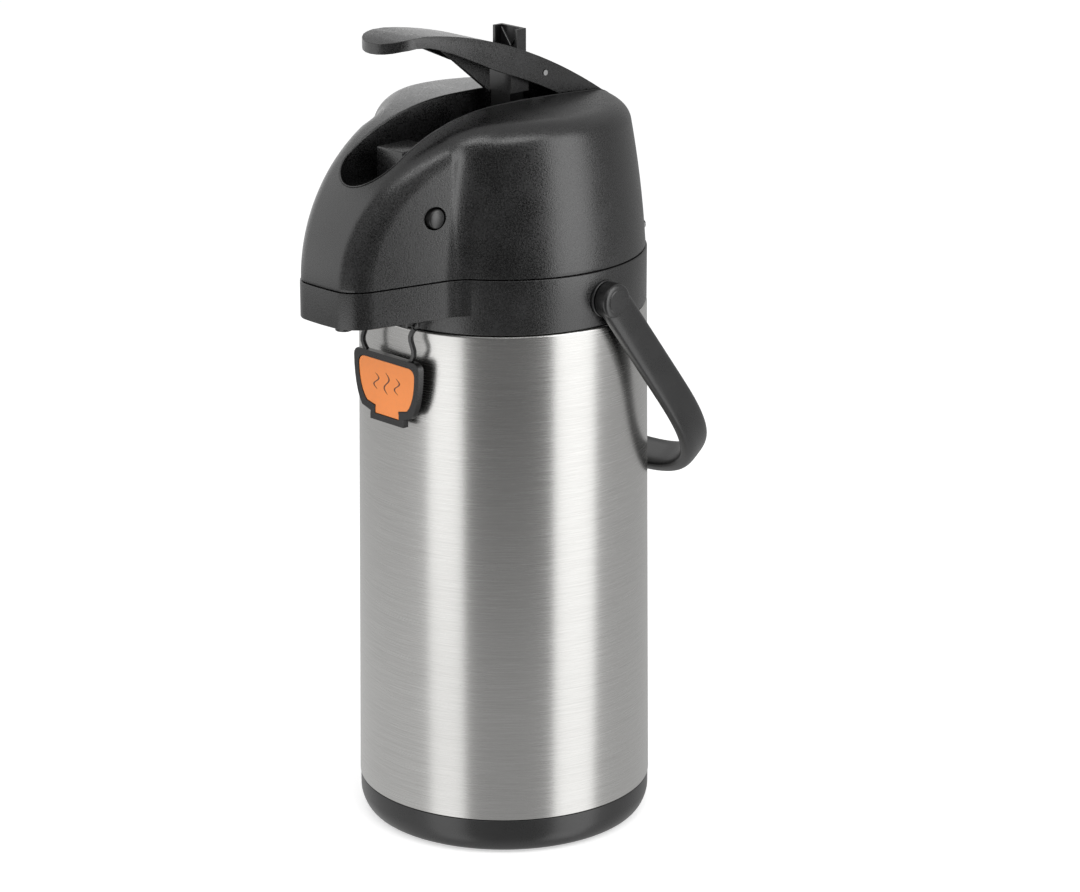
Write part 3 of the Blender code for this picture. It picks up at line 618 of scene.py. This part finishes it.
for side, name in ((1, "right"), (-1, "left")):
    near, far = BOW_HALF - BOW_THICK / 2, BOW_HALF + BOW_THICK / 2
    eye = spun([
        (0.0, far + 0.0003), (0.0058, far + 0.0003), (0.0062, far), (BOW_WIDTH / 2, far),
        (BOW_WIDTH / 2, near), (0.0040, near), (0.0040, 0.0718), (0.0, 0.0718),
    ], steps=64, roundings={3: 0.0020, 4: 0.0012})
    piece(f"handle_eye_{name}", sideways(eye, side, 0.0, PIVOT_Z), satin, "bail")
    bush = spun([
        (0.0043, 0.0759), (0.0096, 0.0759), (0.0096, 0.0746), (0.0054, 0.0746), (0.0054, 0.0716),
        (0.0043, 0.0716),
    ], steps=64, roundings={1: 0.0005})
    piece(f"handle_seat_{name}", sideways(bush, side, 0.0, PIVOT_Z), satin, "jug",
          [f"handle_bush_{name}"])
    eased(f"handle_rivet_{name}", wire_steel, 0.0002)


# ---------------------------------------------------------------- pump and its pipe
# Everything that makes the pressure hangs in the lid: a white can with its air valve, a rubber
# bellows with a return spring, seals, and the pipe that brings the coffee forward to the nozzle.

white = moulded("white_plastic", (0.66, 0.66, 0.64), (0.74, 0.74, 0.72), 0.34, 900.0, 0.00002)
silicone = moulded("white_silicone", (0.68, 0.68, 0.66), (0.76, 0.76, 0.74), 0.42, 700.0, 0.00002)

for node in ("pump_housing", "bellows_plate", "neck_ring", "stem_holder", "dip_tube",
             "latch_left", "latch_right"):
    eased(node, white, 0.0003)
for node in ("air_valve", "lid_gasket", "riser_seal", "outlet_pipe"):
    eased(node, silicone, sharp=50)
for node in ("bellows", "collar_gasket"):
    eased(node, rubber)
for node in ("return_spring", "lever_pin", "drive_pin",
             "lid_screw_1", "lid_screw_2", "lid_screw_3", "lid_screw_4"):
    eased(node, wire_steel, sharp=50)

tube = spun([
    (0.0037, 0.2980), (0.0056, 0.2980), (0.0056, 0.2965), (0.0047, 0.2965), (0.0047, 0.2905),
    (0.0043, 0.2900), (0.0043, 0.2860), (0.0037, 0.2860),
], steps=64, roundings={6: 0.0003, 4: 0.0002})
nozzle = piece("nozzle_tube", tube, satin, "lid", ["nozzle"])
nozzle.data.transform(Matrix.Translation((0.0, spout_y, 0.0)))


# ---------------------------------------------------------------- lever
# The lever is a ribbed channel in the lid's grain, hinged at the back of the recess. Its tip is
# round in plan, and a window lets the pump rod's post through.

eased("lever", grained, 0.0009)


# ---------------------------------------------------------------- pump rod
# The rod is black plastic: a C-shaped post over a shoulder, an ear with a slot that the lever's
# pin drives, and a stem that runs down through its guide in the recess's floor.

for node in ("pump_rod", "guide_bush"):
    eased(node, satin, 0.0005)
rib_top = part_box("pump_rod")[1].z - 0.0015
for name, side in (("rising", 1), ("falling", -1)):
    rib = rod_shape((-side * 0.0068, 0.0060, 0.4050), (side * 0.0068, 0.0060, rib_top), 0.0005, 12)
    piece(f"post_rib_{name}", rib, satin, "rod")


# ---------------------------------------------------------------- release buttons
# A domed button sits in a round hole on each cheek, held in by a flange behind the wall. Pressing
# both would free the lid's latches.

CHEEK_X = 0.0335

for side, name in ((1, "right"), (-1, "left")):
    button = spun([
        (0.0, CHEEK_X + 0.0024), (0.0024, CHEEK_X + 0.0022), (0.0050, CHEEK_X + 0.0017),
        (0.0050, CHEEK_X - 0.0056), (0.0075, CHEEK_X - 0.0056),
        (0.0075, CHEEK_X - 0.0070), (0.0030, CHEEK_X - 0.0070), (0.0030, CHEEK_X - 0.0100),
        (0.0, CHEEK_X - 0.0100),
    ], steps=64, roundings={2: 0.0008})
    piece(f"button_{name}", sideways(button, side, BUTTON_Y, BUTTON_Z), satin, f"{name}_button",
          [f"release_button_{name}"])


# ---------------------------------------------------------------- tag
# A small cup-shaped tag hangs from two steam-shaped hooks under the snout. Its frame is smooth
# black plastic, and an orange plate with three steam curls in brown is pressed into its front.

CURL_SWAY = 0.0019
CURL_HALF_WIDTH = 0.00042
CURL_DEPTH = 0.0001

orange = moulded("orange_plastic", (0.70, 0.195, 0.022), (0.76, 0.215, 0.028), 0.45, 500.0, 0.00001)

eased("tag_frame", satin, 0.0007)
eased("tag_insert", orange)
for node in ("tag_eye_left", "tag_eye_right"):
    eased(node, satin, 0.0002)

brown = moulded("brown_print", (0.022, 0.008, 0.005), (0.034, 0.012, 0.008), 0.5, 700.0, 0.00001)
plate_low, plate_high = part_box("tag_insert")
curl_middle = (plate_low.z + plate_high.z) / 2 + 0.0028
for name, curl_x, rise in (("left", -0.0078, 0.0042), ("middle", 0.0, 0.0056), ("right", 0.0078, 0.0042)):
    spots = []
    for i in range(41):
        s = i / 40 * 2.0 - 1.0
        spot = Vector((curl_x + CURL_SWAY * sin(pi * s * 1.1), plate_low.y, curl_middle + rise * s))
        spots.append((spot, CURL_HALF_WIDTH * (1.0 - 0.75 * s ** 4)))
    outline = [spot + Vector((wide, 0, 0)) for spot, wide in spots]
    outline += [spot - Vector((wide, 0, 0)) for spot, wide in reversed(spots)]
    curl = extruded([spot + Vector((0, CURL_DEPTH, 0)) for spot in outline], (0, -2 * CURL_DEPTH, 0))
    piece(f"steam_curl_{name}", curl, brown, "tag")


# ---------------------------------------------------------------- studio
# A pale floor, a softbox on each side and one overhead. Curved cards close round the jug, which
# only reflections see, give the steel its upright bands of light and dark.

BEARING = radians(46)
TILT = radians(17.75)
CARD_R = 0.20

floor_finish = Finish("studio_floor", Base_Color=(0.86, 0.86, 0.86, 1.0), Roughness=0.9,
                      Emission_Color=(1.0, 1.0, 1.0, 1.0), Emission_Strength=0.5)
floor = bmesh.new()
bmesh.ops.create_grid(floor, x_segments=1, y_segments=1, size=9.0)
floor_mesh = bpy.data.meshes.new("studio_floor")
floor.to_mesh(floor_mesh)
floor.free()
floor_mesh.materials.append(floor_finish.material)
floor_piece = bpy.data.objects.new("studio_floor", floor_mesh)
floor_piece.location.z = -0.0005
floor_piece.visible_glossy = False
bpy.context.scene.collection.objects.link(floor_piece)

VIEW = Vector((-sin(BEARING), cos(BEARING), 0.0))
SIDE = Vector((cos(BEARING), sin(BEARING), 0.0))


def softbox(name, azimuth, distance, height, wide, tall, power):
    """A rectangular lamp, its azimuth in degrees to the right of the camera, aimed at the jug."""
    lamp = bpy.data.lights.new(name, "AREA")
    lamp.shape = "RECTANGLE"
    lamp.size = wide
    lamp.size_y = tall
    lamp.energy = power
    made = bpy.data.objects.new(name, lamp)
    a = radians(azimuth)
    made.location = (-VIEW * cos(a) + SIDE * sin(a)) * distance + Vector((0, 0, height))
    aim = Vector((0, 0, 0.22)) - made.location
    made.rotation_euler = aim.to_track_quat("-Z", "Y").to_euler()
    bpy.context.scene.collection.objects.link(made)


softbox("right_strip", 56, 1.7, 0.50, 0.80, 2.2, 16)
softbox("left_box", -50, 1.7, 0.50, 0.80, 2.2, 12)
softbox("overhead", 10, 1.6, 1.9, 1.6, 1.2, 16)


def reflector(name, start, end, low_glow, high_glow, lid_glow):
    """A glowing card round the jug, from one azimuth to another in degrees right of the camera."""
    finish = Finish(name, Base_Color=(0.0, 0.0, 0.0, 1.0), Emission_Strength=1.0)
    place = finish.node("ShaderNodeTexCoord", {}, {}, "Object")
    height = finish.node("ShaderNodeSeparateXYZ", {}, {0: place}, "Z")
    glow = low_glow + (high_glow - low_glow) * finish.ramp(height, 0.02, 0.22)
    glow = glow + (lid_glow - high_glow) * finish.ramp(height, 0.27, 0.30)
    finish.feed(finish.shader, {"Emission Color": finish.node("ShaderNodeCombineXYZ", {}, {
        0: glow, 1: glow, 2: glow})})
    edge = -VIEW * cos(radians(start)) + SIDE * sin(radians(start))
    shape = bmesh.new()
    ends = [shape.verts.new(edge * CARD_R + Vector((0.0, 0.0, z))) for z in (-0.20, 0.50)]
    bmesh.ops.spin(shape, geom=ends + [shape.edges.new(ends)], cent=(0, 0, 0), axis=(0, 0, 1),
                   angle=radians(end - start), steps=24)
    mesh = bpy.data.meshes.new(name)
    shape.to_mesh(mesh)
    shape.free()
    mesh.materials.append(finish.material)
    card = bpy.data.objects.new(name, mesh)
    card.visible_camera = False
    card.visible_diffuse = False
    card.visible_shadow = False
    bpy.context.scene.collection.objects.link(card)


reflector("dark_card", -25, 33, 0.34, 0.15, 0.06)
reflector("right_card", 33, 64, 1.4, 1.45, 2.2)
reflector("right_grey_card", 64, 180, 0.48, 0.42, 0.40)
reflector("left_card", -50, -25, 1.2, 1.35, 0.10)
reflector("left_grey_card", -180, -50, 0.58, 0.48, 1.1)

world = bpy.data.worlds.new("studio")
world.use_nodes = True
sky = world.node_tree.nodes["Background"]
sky.inputs["Color"].default_value = (1.0, 1.0, 1.0, 1.0)
sky.inputs["Strength"].default_value = 0.55
bpy.context.scene.world = world

lens = bpy.data.cameras.new("camera")
lens.lens = 133.3
lens.sensor_width = 36.0
camera = bpy.data.objects.new("camera", lens)
camera.location = (1.4543, -1.3777, 0.8417)
look = VIEW * cos(TILT) - Vector((0, 0, sin(TILT)))
camera.rotation_euler = look.to_track_quat("-Z", "Y").to_euler()
bpy.context.scene.collection.objects.link(camera)
bpy.context.scene.camera = camera
bpy.context.scene.view_settings.view_transform = "Standard"
